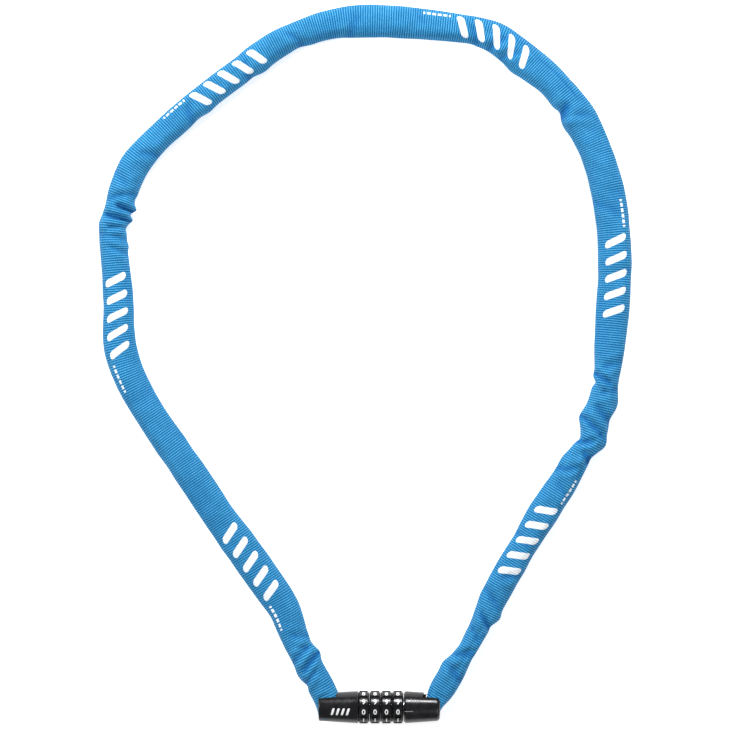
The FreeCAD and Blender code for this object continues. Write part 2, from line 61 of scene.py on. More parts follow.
# The chain's and sleeve's middle line, from the barrel cap round to the plug cap.
ROUTE = [
    (-0.0335, 0.0055, 0.0107), (-0.044, 0.022, 0.0107), (-0.056, 0.046, 0.0066),
    (-0.077, 0.084, 0.006), (-0.117, 0.146, 0.006), (-0.161, 0.207, 0.006),
    (-0.174, 0.243, 0.006), (-0.175, 0.282, 0.006), (-0.179, 0.319, 0.006),
    (-0.167, 0.353, 0.006), (-0.142, 0.382, 0.006), (-0.107, 0.4125, 0.006),
    (-0.071, 0.438, 0.006), (-0.030, 0.454, 0.006), (0.014, 0.4535, 0.006),
    (0.082, 0.445, 0.006), (0.116, 0.415, 0.006), (0.140, 0.384, 0.006),
    (0.153, 0.345, 0.006), (0.158, 0.300, 0.006), (0.155, 0.255, 0.006),
    (0.151, 0.216, 0.006), (0.142, 0.182, 0.006), (0.124, 0.150, 0.006),
    (0.100, 0.112, 0.006), (0.081, 0.080, 0.006), (0.064, 0.047, 0.0066),
    (0.048, 0.022, 0.0107), (0.038, 0.006, 0.0107),
]

# ---- camera, floor and light ----

CENTRE = Vector((-0.0087, 0.2251, 0.0))
VIEW_WIDTH = 0.4831
LENS = 100.0
SENSOR = 36.0
EYE_LEVEL = 0.0107
FLOOR_HALF = 12.0
FLOOR_DROP = 0.0002
AMBIENT = 0.28
PAPER_GLOW = 0.62

# Each disc light: name, place from the centre, diameter and power.
LIGHTS = [
    ("key", (0.14, 1.0, 0.85), 0.32, 19),
    ("side", (-0.95, 0.15, 0.7), 0.5, 8),
    ("fill", (0.7, -0.7, 1.0), 0.9, 5),
]


def add_camera():
    data = bpy.data.cameras.new("camera")
    data.lens, data.sensor_width, data.sensor_height = LENS, SENSOR, SENSOR
    camera = bpy.data.objects.new("camera", data)
    bpy.context.collection.objects.link(camera)
    camera.location = CENTRE + Vector((0, 0, EYE_LEVEL + VIEW_WIDTH * LENS / SENSOR))
    bpy.context.scene.camera = camera


def add_light(name, place, size, power):
    data = bpy.data.lights.new(name, "AREA")
    data.shape, data.size, data.energy = "DISK", size, power
    light = bpy.data.objects.new(name, data)
    bpy.context.collection.objects.link(light)
    light.location = CENTRE + Vector(place)
    aim = CENTRE - light.location
    light.rotation_euler = aim.to_track_quat("-Z", "Y").to_euler()


def add_stage():
    half = FLOOR_HALF
    corners = [(-half, -half, 0), (half, -half, 0), (half, half, 0), (-half, half, 0)]
    mesh = bpy.data.meshes.new("floor")
    mesh.from_pydata(corners, [], [(0, 1, 2, 3)])
    floor = bpy.data.objects.new("floor", mesh)
    bpy.context.collection.objects.link(floor)
    floor.location.z = -FLOOR_DROP
    floor.data.materials.append(lit_paper())
    world = bpy.data.worlds.new("studio")
    world.use_nodes = True
    background = world.node_tree.nodes["Background"]
    background.inputs["Color"].default_value = (0.97, 0.98, 1.0, 1)
    background.inputs["Strength"].default_value = AMBIENT
    bpy.context.scene.world = world
    bpy.context.scene.view_settings.view_transform = "Standard"


def lit_paper():
    """White studio paper that also glows a little, so that it stays white under the lock."""
    material, nodes = new_material("floor_paper")
    nodes.put("Base Color", (0.85, 0.85, 0.85, 1))
    nodes.put("Roughness", 0.9)
    nodes.put("Emission Color", (1, 1, 1, 1))
    nodes.put("Emission Strength", PAPER_GLOW)
    return material


# ---- materials ----

def new_material(name):
    material = bpy.data.materials.new(name)
    material.use_nodes = True
    return material, Nodes(material.node_tree)


class Nodes:
    """Short calls for building a node tree."""

    def __init__(self, tree):
        self.tree = tree
        self.shader = tree.nodes["Principled BSDF"]

    def add(self, kind, **settings):
        node = self.tree.nodes.new(kind)
        for key, value in settings.items():
            if hasattr(node, key):
                setattr(node, key, value)
            else:
                node.inputs[key.replace("_", " ")].default_value = value
        return node

    def join(self, source, target):
        self.tree.links.new(source, target)

    def put(self, name, value):
        self.shader.inputs[name].default_value = value

    def math(self, operation, first, second=0.0, clamp=False):
        node = self.add("ShaderNodeMath", operation=operation, use_clamp=clamp)
        for socket, value in zip(node.inputs, (first, second)):
            if isinstance(value, (int, float)):
                socket.default_value = value
            else:
                self.join(value, socket)
        return node.outputs[0]

    def noise(self, vector, scale, detail=3.0, roughness=0.5):
        node = self.add("ShaderNodeTexNoise")
        node.inputs["Scale"].default_value = scale
        node.inputs["Detail"].default_value = detail
        node.inputs["Roughness"].default_value = roughness
        self.join(vector, node.inputs["Vector"])
        return node.outputs["Fac"]

    def spread(self, value, low, high, to_low, to_high):
        node = self.add("ShaderNodeMapRange")
        self.join(value, node.inputs["Value"])
        limits = {"From Min": low, "From Max": high, "To Min": to_low, "To Max": to_high}
        for name, amount in limits.items():
            node.inputs[name].default_value = amount
        return node.outputs["Result"]

    def mix(self, share, first, second):
        node = self.add("ShaderNodeMix", data_type="RGBA")
        sockets = (node.inputs[0], node.inputs[6], node.inputs[7])
        for socket, value in zip(sockets, (share, first, second)):
            if isinstance(value, tuple):
                socket.default_value = (*value, 1)
            elif isinstance(value, (int, float)):
                socket.default_value = value
            else:
                self.join(value, socket)
        return node.outputs[2]

    def bump(self, height, distance):
        node = self.add("ShaderNodeBump")
        node.inputs["Strength"].default_value = 1.0
        node.inputs["Distance"].default_value = distance
        self.join(height, node.inputs["Height"])
        return node.outputs["Normal"]


def plain_material(name, colour, roughness):
    material, nodes = new_material(name)
    nodes.put("Base Color", (*colour, 1))
    nodes.put("Roughness", roughness)
    return material


def plastic_material(name, colour, roughness, grain):
    """Moulded black plastic: fine spark texture, faint scuffs and uneven gloss."""
    material, nodes = new_material(name)
    place = nodes.add("ShaderNodeTexCoord").outputs["Object"]
    fine = nodes.noise(place, 5200.0, 2.0)
    broad = nodes.noise(place, 160.0, 4.0, 0.6)
    scuffs = nodes.noise(place, 900.0, 6.0, 0.7)
    shade = nodes.spread(broad, 0.3, 0.7, 0.0, 1.0)
    lighter = tuple(min(1.0, c * 1.7 + 0.004) for c in colour)
    nodes.join(nodes.mix(shade, colour, lighter), nodes.shader.inputs["Base Color"])
    gloss = nodes.math("ADD", nodes.spread(broad, 0.3, 0.7, -0.05, 0.05),
                       nodes.spread(scuffs, 0.45, 0.75, roughness, roughness + 0.14))
    nodes.join(gloss, nodes.shader.inputs["Roughness"])
    nodes.put("Specular IOR Level", 0.34)
    nodes.join(nodes.bump(fine, grain), nodes.shader.inputs["Normal"])
    return material


def metal_material(name, colour, roughness, brushed=False):
    material, nodes = new_material(name)
    place = nodes.add("ShaderNodeTexCoord").outputs["Object"]
    nodes.put("Metallic", 1.0)
    broad = nodes.noise(place, 220.0, 4.0)
    stretch = nodes.add("ShaderNodeMapping")
    stretch.inputs["Scale"].default_value = (1.0, 14.0, 14.0) if brushed else (1.0, 1.0, 1.0)
    nodes.join(place, stretch.inputs["Vector"])
    fine = nodes.noise(stretch.outputs["Vector"], 900.0, 3.0)
    darker = tuple(c * 0.72 for c in colour)
    nodes.join(nodes.mix(broad, darker, colour), nodes.shader.inputs["Base Color"])
    gloss = nodes.spread(fine, 0.3, 0.7, roughness - 0.08, roughness + 0.12)
    nodes.join(gloss, nodes.shader.inputs["Roughness"])
    nodes.join(nodes.bump(fine, 0.00003), nodes.shader.inputs["Normal"])
    return material


def ink_material(name, colour):
    """Pad-printed or filled ink, a little uneven."""
    material, nodes = new_material(name)
    place = nodes.add("ShaderNodeTexCoord").outputs["Object"]
    wear = nodes.noise(place, 1400.0, 4.0, 0.7)
    dull = tuple(c * 0.8 for c in colour)
    shade = nodes.mix(nodes.spread(wear, 0.35, 0.6, 0.0, 1.0), dull, colour)
    nodes.join(shade, nodes.shader.inputs["Base Color"])
    nodes.put("Roughness", 0.45)
    nodes.join(nodes.bump(wear, 0.00002), nodes.shader.inputs["Normal"])
    return material


# The webbing's weave, and the prints that repeat along it.
RIB_PITCH = 1.55 * MM
YARN_PITCH = 1.15 * MM
WEAVE_DEPTH = 0.00022
PRINT_PERIOD = 188 * MM
FIRST_PRINT = 104 * MM
SMALL_BEFORE = 41 * MM
SMALL_SIDE = 6.6 * MM
SMALL_HALF = 9 * MM
DASH_PITCH = 3.6 * MM
BAR_PITCH = 11.6 * MM
BAR_WIDTH = 5.0 * MM
BAR_SLANT = 0.42
BAR_REACH = 7.3 * MM
BARS_HALF = 29.0 * MM


def weave_material():
    """Cross-ribbed webbing with white printed bars; UV is metres along and across the sleeve."""
    material, nodes = new_material("woven_sleeve")
    split = nodes.add("ShaderNodeSeparateXYZ")
    uv = nodes.add("ShaderNodeUVMap", uv_map="fabric").outputs["UV"]
    nodes.join(uv, split.inputs[0])
    along, across = split.outputs[0], split.outputs[1]

    # ribs across the webbing, each with a broken line of yarn on its crest; in the colour the rib
    # valleys get painted shade and the crests a painted highlight along the yarn
    wander = nodes.math("MULTIPLY", nodes.noise(uv, 60.0, 2.0), 0.9 * MM)
    rib_at = nodes.math("MULTIPLY", nodes.math("ADD", along, wander), 2 * math.pi / RIB_PITCH)
    ribs = nodes.spread(nodes.math("SINE", rib_at), -1.0, 1.0, 0.0, 1.0)
    yarn_at = nodes.math("MULTIPLY", across, 2 * math.pi / YARN_PITCH)
    half_turn = nodes.math("MULTIPLY", rib_at, 0.5)
    yarn = nodes.math("MULTIPLY", nodes.math("SINE", yarn_at), nodes.math("SINE", half_turn))
    yarns = nodes.spread(yarn, -1.0, 1.0, 0.0, 1.0)
    fuzz = nodes.noise(uv, 5200.0, 2.0, 0.6)
    rib_height = nodes.math("MULTIPLY", ribs, 0.7)
    height = nodes.math("ADD", rib_height, nodes.math("MULTIPLY", yarns, 0.3))
    height = nodes.math("ADD", height, nodes.math("MULTIPLY", fuzz, 0.25))

    mark = print_mask(nodes, along, across)
    worn = nodes.noise(uv, 900.0, 5.0, 0.75)
    ink = nodes.math("MULTIPLY", mark, nodes.spread(worn, 0.28, 0.40, 0.6, 1.0))
    ink = nodes.math("MULTIPLY", ink, nodes.spread(ribs, 0.0, 0.4, 0.72, 1.0))

    tone = nodes.noise(uv, 45.0, 4.0, 0.55)
    patch = nodes.spread(tone, 0.3, 0.7, 0.0, 1.0)
    body = nodes.mix(patch, (0.015, 0.190, 0.410), (0.028, 0.255, 0.520))
    # painted shade: the rib valleys are mixed towards a darker blue
    blue = nodes.mix(nodes.spread(ribs, 0.05, 0.7, 0.0, 1.0), (0.005, 0.100, 0.270), body)
    speck = nodes.noise(uv, 1300.0, 3.0, 0.7)
    # painted highlight: light cyan dashes on the rib crests, where the yarn catches the light
    crest_highlight_paint = nodes.math("MULTIPLY", nodes.spread(ribs, 0.5, 1.0, 0.0, 1.0),
                        nodes.spread(yarns, 0.35, 0.75, 0.1, 0.9))
    crest_highlight_paint = nodes.math("MULTIPLY", crest_highlight_paint, nodes.spread(speck, 0.38, 0.62, 0.15, 1.0))
    blue = nodes.mix(crest_highlight_paint, blue, (0.210, 0.620, 0.850))
    # painted shade: the sleeve's folds, creases and dips darken the blue
    painted_fold_shade = nodes.add("ShaderNodeAttribute", attribute_name="painted_fold_shade").outputs["Fac"]
    blue = nodes.mix(nodes.math("MULTIPLY", painted_fold_shade, 0.75), blue, (0.004, 0.100, 0.330))
    nodes.join(nodes.mix(ink, blue, (0.86, 0.90, 0.92)), nodes.shader.inputs["Base Color"])
    nodes.put("Roughness", 0.66)
    nodes.put("Specular IOR Level", 0.08)
    nodes.put("Sheen Weight", 0.04)
    nodes.put("Sheen Roughness", 0.4)
    nodes.put("Sheen Tint", (0.45, 0.75, 1.0, 1))
    nodes.join(nodes.bump(height, WEAVE_DEPTH), nodes.shader.inputs["Normal"])
    return material


def print_mask(nodes, along, across):
    """A printed row of slanted bars, and a row of dashes by one edge beside it."""
    def local(offset, period):
        moved = nodes.math("SUBTRACT", along, offset - period / 2)
        return nodes.math("SUBTRACT", wrap(moved, period), period / 2)

    def wrap(value, period):
        wrapped = nodes.math("WRAP", value, period)
        wrapped.node.inputs[2].default_value = 0.0
        return wrapped

    def below(value, limit, soft=0.12 * MM):
        return nodes.spread(value, limit - soft, limit + soft, 1.0, 0.0)

    slanted = nodes.math("MULTIPLY", across, BAR_SLANT)
    place = nodes.math("ADD", local(FIRST_PRINT, PRINT_PERIOD), slanted)
    in_row = below(nodes.math("ABSOLUTE", place), BARS_HALF)
    step = wrap(nodes.math("ADD", place, BARS_HALF), BAR_PITCH)
    step = nodes.math("SUBTRACT", step, BAR_PITCH / 2)
    # each bar is a short thick line with round ends
    half_width = BAR_WIDTH / 2
    past = nodes.math("SUBTRACT", nodes.math("ABSOLUTE", across), BAR_REACH - half_width)
    past = nodes.math("MAXIMUM", past, 0.0)
    reach = nodes.math("SQRT", nodes.math("ADD", nodes.math("MULTIPLY", step, step),
                                          nodes.math("MULTIPLY", past, past)))
    bars = nodes.math("MULTIPLY", below(reach, half_width), in_row)

    small = local(FIRST_PRINT - SMALL_BEFORE, PRINT_PERIOD)
    in_small = below(nodes.math("ABSOLUTE", small), SMALL_HALF)
    dash = nodes.math("SUBTRACT", wrap(small, DASH_PITCH), DASH_PITCH / 2)
    dash = nodes.math("ABSOLUTE", dash)
    side = nodes.math("ABSOLUTE", nodes.math("SUBTRACT", across, SMALL_SIDE))
    dashes = nodes.math("MULTIPLY", below(dash, 1.2 * MM), below(side, 0.9 * MM))
    dashes = nodes.math("MULTIPLY", dashes, in_small)
    return nodes.math("MAXIMUM", bars, dashes, clamp=True)


# ---- the sleeve ----

RINGS = 1780
AROUND = 52
ROUTE_TRIM = 12
MATCHED_RING = 20
SMOOTHING = 60
FABRIC = 0.55
HEM_THICKNESS = 0.0006
HEM_DEPTH = 0.004
HEM_RINGS = 8
HEM_RUN = 0.0052
HEM_UV = 0.005
FLOOR_GAP = 0.08 * MM
LIP_LOW, LIP_HIGH = 5.0 * MM, 16.4 * MM

# Inside each cap the sleeve's end bends towards the cap's far side.
BARREL_HEM = [(-0.0310, -0.0070, 0.0107), (-0.0318, -0.0008, 0.0107)]
PLUG_HEM = [(0.0352, 0.0012, 0.0107), (0.0338, -0.0030, 0.0107)]


def route_points():
    """The smooth line through the route, read from its own curve."""
    curve = bpy.data.curves.new("sleeve_route", "CURVE")
    curve.dimensions = "3D"
    spline = curve.splines.new("NURBS")
    spline.points.add(len(ROUTE) - 1)
    for point, place in zip(spline.points, ROUTE):
        point.co = (*place, 1.0)
    spline.order_u = 3
    spline.use_endpoint_u = True
    spline.resolution_u = 24
    holder = bpy.data.objects.new("sleeve_route", curve)
    bpy.context.collection.objects.link(holder)
    bpy.context.view_layer.update()
    graph = bpy.context.evaluated_depsgraph_get()
    mesh = bpy.data.meshes.new_from_object(holder.evaluated_get(graph))
    points = np.array([tuple(vertex.co) for vertex in mesh.vertices])
    bpy.data.meshes.remove(mesh)
    bpy.data.objects.remove(holder)
    bpy.data.curves.remove(curve)
    return points


def evenly(points, count):
    """Points at equal steps along a line, with how far along each one is."""
    steps = np.linalg.norm(np.diff(points, axis=0), axis=1)
    reach = np.concatenate([[0.0], np.cumsum(steps)])
    along = np.linspace(0.0, reach[-1], count)
    return np.stack([np.interp(along, reach, points[:, k]) for k in range(3)], axis=1), along


# Sleeve width, and how far the sleeve lies outside its chain's line, by distance along it (mm).
# Each has a point only where the sleeve swells, narrows or shifts.
WIDTHS = [
    (0, 17.5), (45, 18.5), (75, 22), (105, 23), (140, 21.5), (230, 20.5), (275, 22), (300, 20),
    (335, 18), (395, 20.5), (425, 18), (490, 18), (500, 20), (530, 17.5), (590, 22),
    (605, 21.5), (645, 18.5), (690, 23), (720, 20), (745, 23), (785, 21), (800, 22.5),
    (880, 22), (905, 20), (925, 16), (950, 20.5), (965, 17), (985, 16.5), (1010, 20),
    (1030, 20), (1050, 18), (1080, 18.5), (1100, 16.5), (1110, 13), (1130, 12.5), (1145, 17),
    (1160, 16.5), (1170, 12),
]
DRIFTS = [
    (0, 0), (45, 0), (65, -3), (90, -1), (140, 2), (270, 0.5), (295, -2), (350, -1),
    (365, -2.5), (395, 0.5), (440, -1), (495, -2), (520, 0), (665, 0.5), (690, -3.5), (715, -1),
    (760, -2), (800, -1), (905, -0.5), (940, 1), (950, -0.5), (965, 2.5), (980, 0), (1015, -1),
    (1065, -1), (1110, 0),
]

# Folds across the sleeve: place along it, how far the fold leans, its width and depth,
# and the span across the sleeve that it covers (outer edge +1, inner edge -1).
FOLDS = [
    (19, -0.4, 1.8, 1.8, -0.2, 1.0), (25, -0.5, 1.9, 2.6, -1.0, 0.4),
    (34, -0.3, 2.0, 1.4, -0.4, 1.0), (38, 0.3, 2.0, 1.0, -1.0, 0.0),
    (47, 0.6, 2.6, 0.9, -1.0, 0.0), (336, 0.5, 2.0, 1.0, -1.0, 0.1),
    (344, 0.2, 2.0, 1.0, -0.8, 1.0), (350, -0.2, 1.7, 1.4, -1.0, 0.2),
    (357, 0.1, 1.7, 2.8, -1.0, 0.6), (365, 0.1, 1.6, 2.8, -1.0, 0.0),
    (372, -0.5, 2.2, 1.2, -1.0, 0.9), (381, 0.5, 2.6, 0.9, -0.4, 1.0),
    (404, -0.6, 3.0, 0.9, -1.0, 0.0), (446, 0.5, 3.0, 1.1, -1.0, 0.1),
    (470, -0.6, 3.0, 0.7, -0.2, 1.0), (494, 0.5, 2.8, 1.2, -1.0, 0.2),
    (530, -0.6, 2.6, 1.1, -1.0, 0.2), (574, 0.5, 2.8, 0.8, -1.0, 0.0),
    (618, -0.5, 3.4, 0.6, 0.0, 1.0), (652, -0.5, 2.8, 1.2, -1.0, 0.0),
    (672, 0.7, 2.6, 1.5, -1.0, 0.1), (686, 0.9, 2.6, 0.9, -1.0, 0.0),
    (735, -0.2, 3.4, 2.6, -1.0, -0.35), (745, 0.5, 2.6, 1.0, -1.0, 0.4),
    (812, 0.6, 3.4, 0.8, -1.0, 0.1), (857, -0.5, 3.6, 0.6, 0.0, 1.0),
    (915, -0.4, 2.4, 0.9, -0.3, 1.0), (926, 0.5, 1.8, 2.2, -1.0, 0.2),
    (933, -0.4, 2.4, 1.0, -0.2, 1.0), (946, 0.6, 2.4, 1.4, -0.3, 1.0),
    (958, 0.5, 2.2, 1.8, -1.0, 0.5), (967, -0.5, 2.2, 1.6, -1.0, 0.1),
    (975, 0.6, 2.6, 2.4, 0.1, 1.0), (988, -0.6, 2.6, 1.2, -1.0, 0.2),
    (1003, 0.5, 2.8, 0.8, -0.2, 1.0), (1047, 0.5, 2.8, 1.1, -1.0, 0.2),
    (1072, -0.6, 2.6, 1.0, -0.1, 1.0), (1090, 0.6, 2.4, 1.1, -1.0, 0.5),
    (1104, 0.7, 2.0, 2.0, -0.4, 1.0), (1116, 0.8, 2.4, 1.1, -1.0, 1.0),
    (1130, -0.6, 2.6, 1.5, -1.0, 1.0), (1144, 0.4, 2.4, 1.2, -1.0, 1.0),
]

# Creases along the sleeve: from, to, place across it, width and depth, all in millimetres.
CREASES = [
    (30, 120, -7.6, 0.9, 0.45), (150, 330, 8.0, 0.9, 0.4), (318, 345, 8.2, 1.0, 1.3),
    (385, 470, 6.6, 0.9, 0.6), (470, 640, -6.8, 0.9, 0.4), (690, 742, 5.2, 1.1, 2.2),
    (742, 800, 7.6, 0.9, 0.8), (780, 905, -8.0, 0.9, 0.4), (968, 998, 5.2, 1.6, 2.8),
    (1000, 1060, 6.4, 0.9, 0.6), (1095, 1150, 1.6, 1.2, 1.1), (1088, 1140, -3.6, 1.0, 0.8),
]

# Where an edge stands out or in: place along, outer (+1) or inner (-1) edge, reach and amount.
EDGE_BUMPS = [
    (14, 1, 3, -1.4), (23, 1, 4, 0.8), (30, -1, 4, 1.8), (39, -1, 3, -0.6), (337, -1, 3, 1.0),
    (350, -1, 3, -1.2), (352, 1, 4, 0.9), (357, -1, 2.4, 2.0), (361.5, -1, 1.6, -0.8),
    (366, -1, 2.6, 2.2), (373, -1, 3, -0.8), (415, -1, 12, -0.5), (447, -1, 7, -0.8),
    (456, -1, 5, 0.7), (494, -1, 5, -0.9), (504, -1, 5, 0.6), (531, -1, 6, -0.8),
    (541, -1, 5, 0.5), (575, -1, 10, 0.5), (652, -1, 6, -0.8), (684, -1, 10, 0.6),
    (735, -1, 4, -1.8), (746, -1, 6, 0.8), (923, -1, 2.5, 0.8), (928, -1, 2.2, -1.6),
    (939, 1, 6, 1.0), (950, 1, 4, -0.8), (955, -1, 5, 1.8), (965, 1, 4.5, 1.8),
    (968, -1, 3.5, -1.4), (976, 1, 4, -1.2), (985, -1, 6, 1.2), (1000, 1, 8, 0.5),
    (1045, -1, 6, -0.7), (1062, 1, 8, 0.6), (1090, -1, 5, 0.6), (1099, 1, 4, 1.5),
    (1106, 1, 3, -0.8), (1125, -1, 5, -0.6), (1142, -1, 5, 1.2),
]


def soft_noise(seed, along, around, step, cells):
    """Smooth random values over the sleeve, repeating round it."""
    rng = np.random.default_rng(seed)
    grid = rng.uniform(-1, 1, (int(along.max() / step) + 3, cells))
    u, v = along / step, around / (2 * math.pi) * cells
    i, j = np.floor(u).astype(int), np.floor(v).astype(int)
    fu, fv = u - i, v - j
    fu, fv = fu * fu * (3 - 2 * fu), fv * fv * (3 - 2 * fv)
    j, k = j % cells, (j + 1) % cells
    low = grid[i, j] * (1 - fv) + grid[i, k] * fv
    high = grid[i + 1, j] * (1 - fv) + grid[i + 1, k] * fv
    return low * (1 - fu) + high * fu


def bell(distance, width):
    return np.exp(-(distance / width) ** 2)


def table_at(table, along):
    """Read a table of places and amounts with soft corners."""
    where, amounts = zip(*table)
    value = np.interp(along, where, amounts)
    for shift in (-3.0, 3.0):
        value = value + np.interp(along + shift, where, amounts)
    return value / 3


def chain_support(points, along):
    """How high the chain stands under each millimetre of the sleeve, along and across it."""
    tangent, outward, upward = frames_along(points)
    spots = []
    for name in ("barrel_chain", "plug_chain"):
        node = frame["nodes"][name]
        mesh = node.data
        verts = np.empty(len(mesh.vertices) * 3)
        mesh.vertices.foreach_get("co", verts)
        ends = np.empty(len(mesh.edges) * 2, dtype=np.int64)
        mesh.edges.foreach_get("vertices", ends)
        place = np.array(node.matrix_world)
        verts = verts.reshape(-1, 3) @ place[:3, :3].T + place[:3, 3]
        first, second = verts[ends[0::2]], verts[ends[1::2]]
        spots += [first + (second - first) * share for share in np.linspace(0, 1, 5)]
    spots = np.concatenate(spots)
    spots = spots[spots[:, 2] > 7 * MM]
    cells = np.round(spots / (0.5 * MM)).astype(np.int64) + 2000
    code = (cells[:, 0] * 10000 + cells[:, 1]) * 10000 + cells[:, 2]
    spots = spots[np.unique(code, return_index=True)[1]]
    coarse = np.arange(0, len(points), 4)
    height = np.full((int(along[-1] / MM) + 40, 61), -9.0)
    for chunk in np.array_split(spots, max(1, len(spots) // 4000)):
        gap = np.linalg.norm(chunk[:, None, :2] - points[None, coarse, :2], axis=2)
        near = coarse[np.argmin(gap, axis=1)]
        arm = chunk - points[near]
        reach = along[near] + np.sum(arm * tangent[near], axis=1)
        side, rise = np.sum(arm * outward[near], axis=1), np.sum(arm * upward[near], axis=1)
        i = np.clip(np.round(reach / MM).astype(int) + 20, 0, height.shape[0] - 1)
        j = np.clip(np.round(side / MM * 2).astype(int) + 30, 0, 60)
        np.maximum.at(height, (i, j), rise / MM)
    return drape(height)


def drape(height):
    """Fabric over the chain: it spans small gaps and follows the rest softly."""
    cover = height.copy()
    for _ in range(3):
        for axis in (0, 1):
            cover = np.maximum(cover, np.maximum(np.roll(cover, 1, axis), np.roll(cover, -1, axis)))
    for _ in range(3):
        for axis in (0, 1):
            cover = (cover + np.roll(cover, 1, axis) + np.roll(cover, -1, axis)) / 3
    return cover


def look_up(grid, along, across):
    u = np.clip(along + 20, 0, grid.shape[0] - 2)
    v = np.clip(across * 2 + 30, 0, grid.shape[1] - 2)
    i, j = u.astype(int), v.astype(int)
    fu, fv = u - i, v - j
    return ((grid[i, j] * (1 - fv) + grid[i, j + 1] * fv) * (1 - fu)
            + (grid[i + 1, j] * (1 - fv) + grid[i + 1, j + 1] * fv) * fu)


def sleeve_surface(along, around, support):
    """Offsets outwards and upwards of the sleeve's surface from its route, and how much painted
    shade its folds, creases and dips get.
    """
    half = table_at(WIDTHS, along) / 2 + 0.25 * soft_noise(3, along, around * 0, 11.0, 3)
    share = np.cos(around)
    upper = np.sin(around) >= 0
    side = np.where(share >= 0, 1, -1)
    edge = np.abs(share) ** 3
    for place, which, reach, amount in EDGE_BUMPS:
        half = half + np.where(side == which, amount * bell(along - place, reach) * edge, 0)
    across = table_at(DRIFTS, along) + half * share
    lens = np.clip(1 - np.abs(share) ** 3, 0, 1) ** 0.62
    rise = np.where(upper, 6.5 * lens, -6.3 * lens)

    # folds, creases and small unevenness
    lift = 0.9 * soft_noise(5, along, around, 26.0, 5) + 0.6 * soft_noise(8, along, around, 9.0, 9)
    lift = lift + 0.16 * soft_noise(13, along, around, 4.0, 15)
    smooth = lift.copy()
    for place, lean, width, depth, low, high in FOLDS:
        middle = place + lean * half * share
        span = np.clip((share - low + 0.3) / 0.3, 0, 1)
        span = span * np.clip((high + 0.3 - share) / 0.3, 0, 1)
        gap = np.abs(along - middle)
        ridge = 0.6 * bell(gap - 2.2 * width, 1.2 * width)
        lift = lift - span * depth * (np.exp(-(gap / width) ** 1.4) - ridge)
    for start, end, place, width, depth in CREASES:
        run = np.clip((along - start) / 12, 0, 1) * np.clip((end - along) / 12, 0, 1)
        wander = place + 0.5 * np.sin(along / 13.0)
        gap = half * share - wander
        lift = lift - run * depth * (np.exp(-np.abs(gap) / width) - 0.4 * bell(gap, 2.6 * width))
    # painted shade: how deep the folds and creases press in, plus where the broad unevenness dips
    painted_fold_shade = np.clip((smooth - lift) / 1.8, -0.25, 1) + 0.25 * np.clip(-smooth / 1.2, 0, 1)
    fade = np.clip(lens * 1.8, 0, 1)
    rise = rise + np.where(upper, lift * fade, 0.2 * lift * fade)
    tilt = 0.5 * soft_noise(21, along, around * 0, 31.0, 3) * share
    rise = rise - 1.2 * np.abs(share) ** 4 + tilt
    rest = look_up(support, along, across) + FABRIC
    return across, np.where(upper, np.maximum(rise, rest), rise), np.clip(painted_fold_shade, 0, 1)


def frames_along(points):
    tangent = np.gradient(points, axis=0)
    tangent /= np.linalg.norm(tangent, axis=1)[:, None]
    outward = np.cross((0, 0, 1), tangent)
    outward /= np.linalg.norm(outward, axis=1)[:, None]
    return tangent, outward, np.cross(tangent, outward)


def build_sleeve():
    route, along = evenly(route_points(), RINGS)
    support = chain_support(route, along)
    whole = np.concatenate([BARREL_HEM, route[ROUTE_TRIM:-ROUTE_TRIM], PLUG_HEM])
    points, place = evenly(whole, RINGS)
    for _ in range(SMOOTHING):
        points[1:-1] = (points[:-2] + 2 * points[1:-1] + points[2:]) / 4
    start = np.argmin(np.linalg.norm(points - route[MATCHED_RING], axis=1))
    place = place - place[start] + along[MATCHED_RING]
    _, outward, upward = frames_along(points)
    turns = np.linspace(0, 2 * math.pi, AROUND, endpoint=False)
    s, phi = np.meshgrid(place / MM, turns, indexing="ij")
    across, rise, painted_fold_shade = sleeve_surface(s, phi, support)
    skin = (points[:, None, :] + outward[:, None, :] * (across * MM)[..., None]
            + upward[:, None, :] * (rise * MM)[..., None])
    # between the lips of the caps the sleeve is pressed to the height of the mouth
    beyond = np.minimum(place, along[-1] - place)
    free = np.clip((beyond - 4 * MM) / (14 * MM), 0, 1)[:, None]
    skin[..., 2] = np.clip(skin[..., 2], FLOOR_GAP + (LIP_LOW - FLOOR_GAP) * (1 - free),
                           LIP_HIGH + 20 * MM * free)
    centres = points + outward * (table_at(DRIFTS, place / MM) * MM)[:, None]
    sleeve = tube_object("woven_sleeve", skin, place)
    # the painted fold shade is stored on each vertex for the material
    shade = np.concatenate([painted_fold_shade[:1], painted_fold_shade, painted_fold_shade[-1:]]).ravel()
    attribute = sleeve.data.attributes.new("painted_fold_shade", "FLOAT", "POINT")
    attribute.data.foreach_set("value", shade.astype(np.float32))
    return sleeve, centres


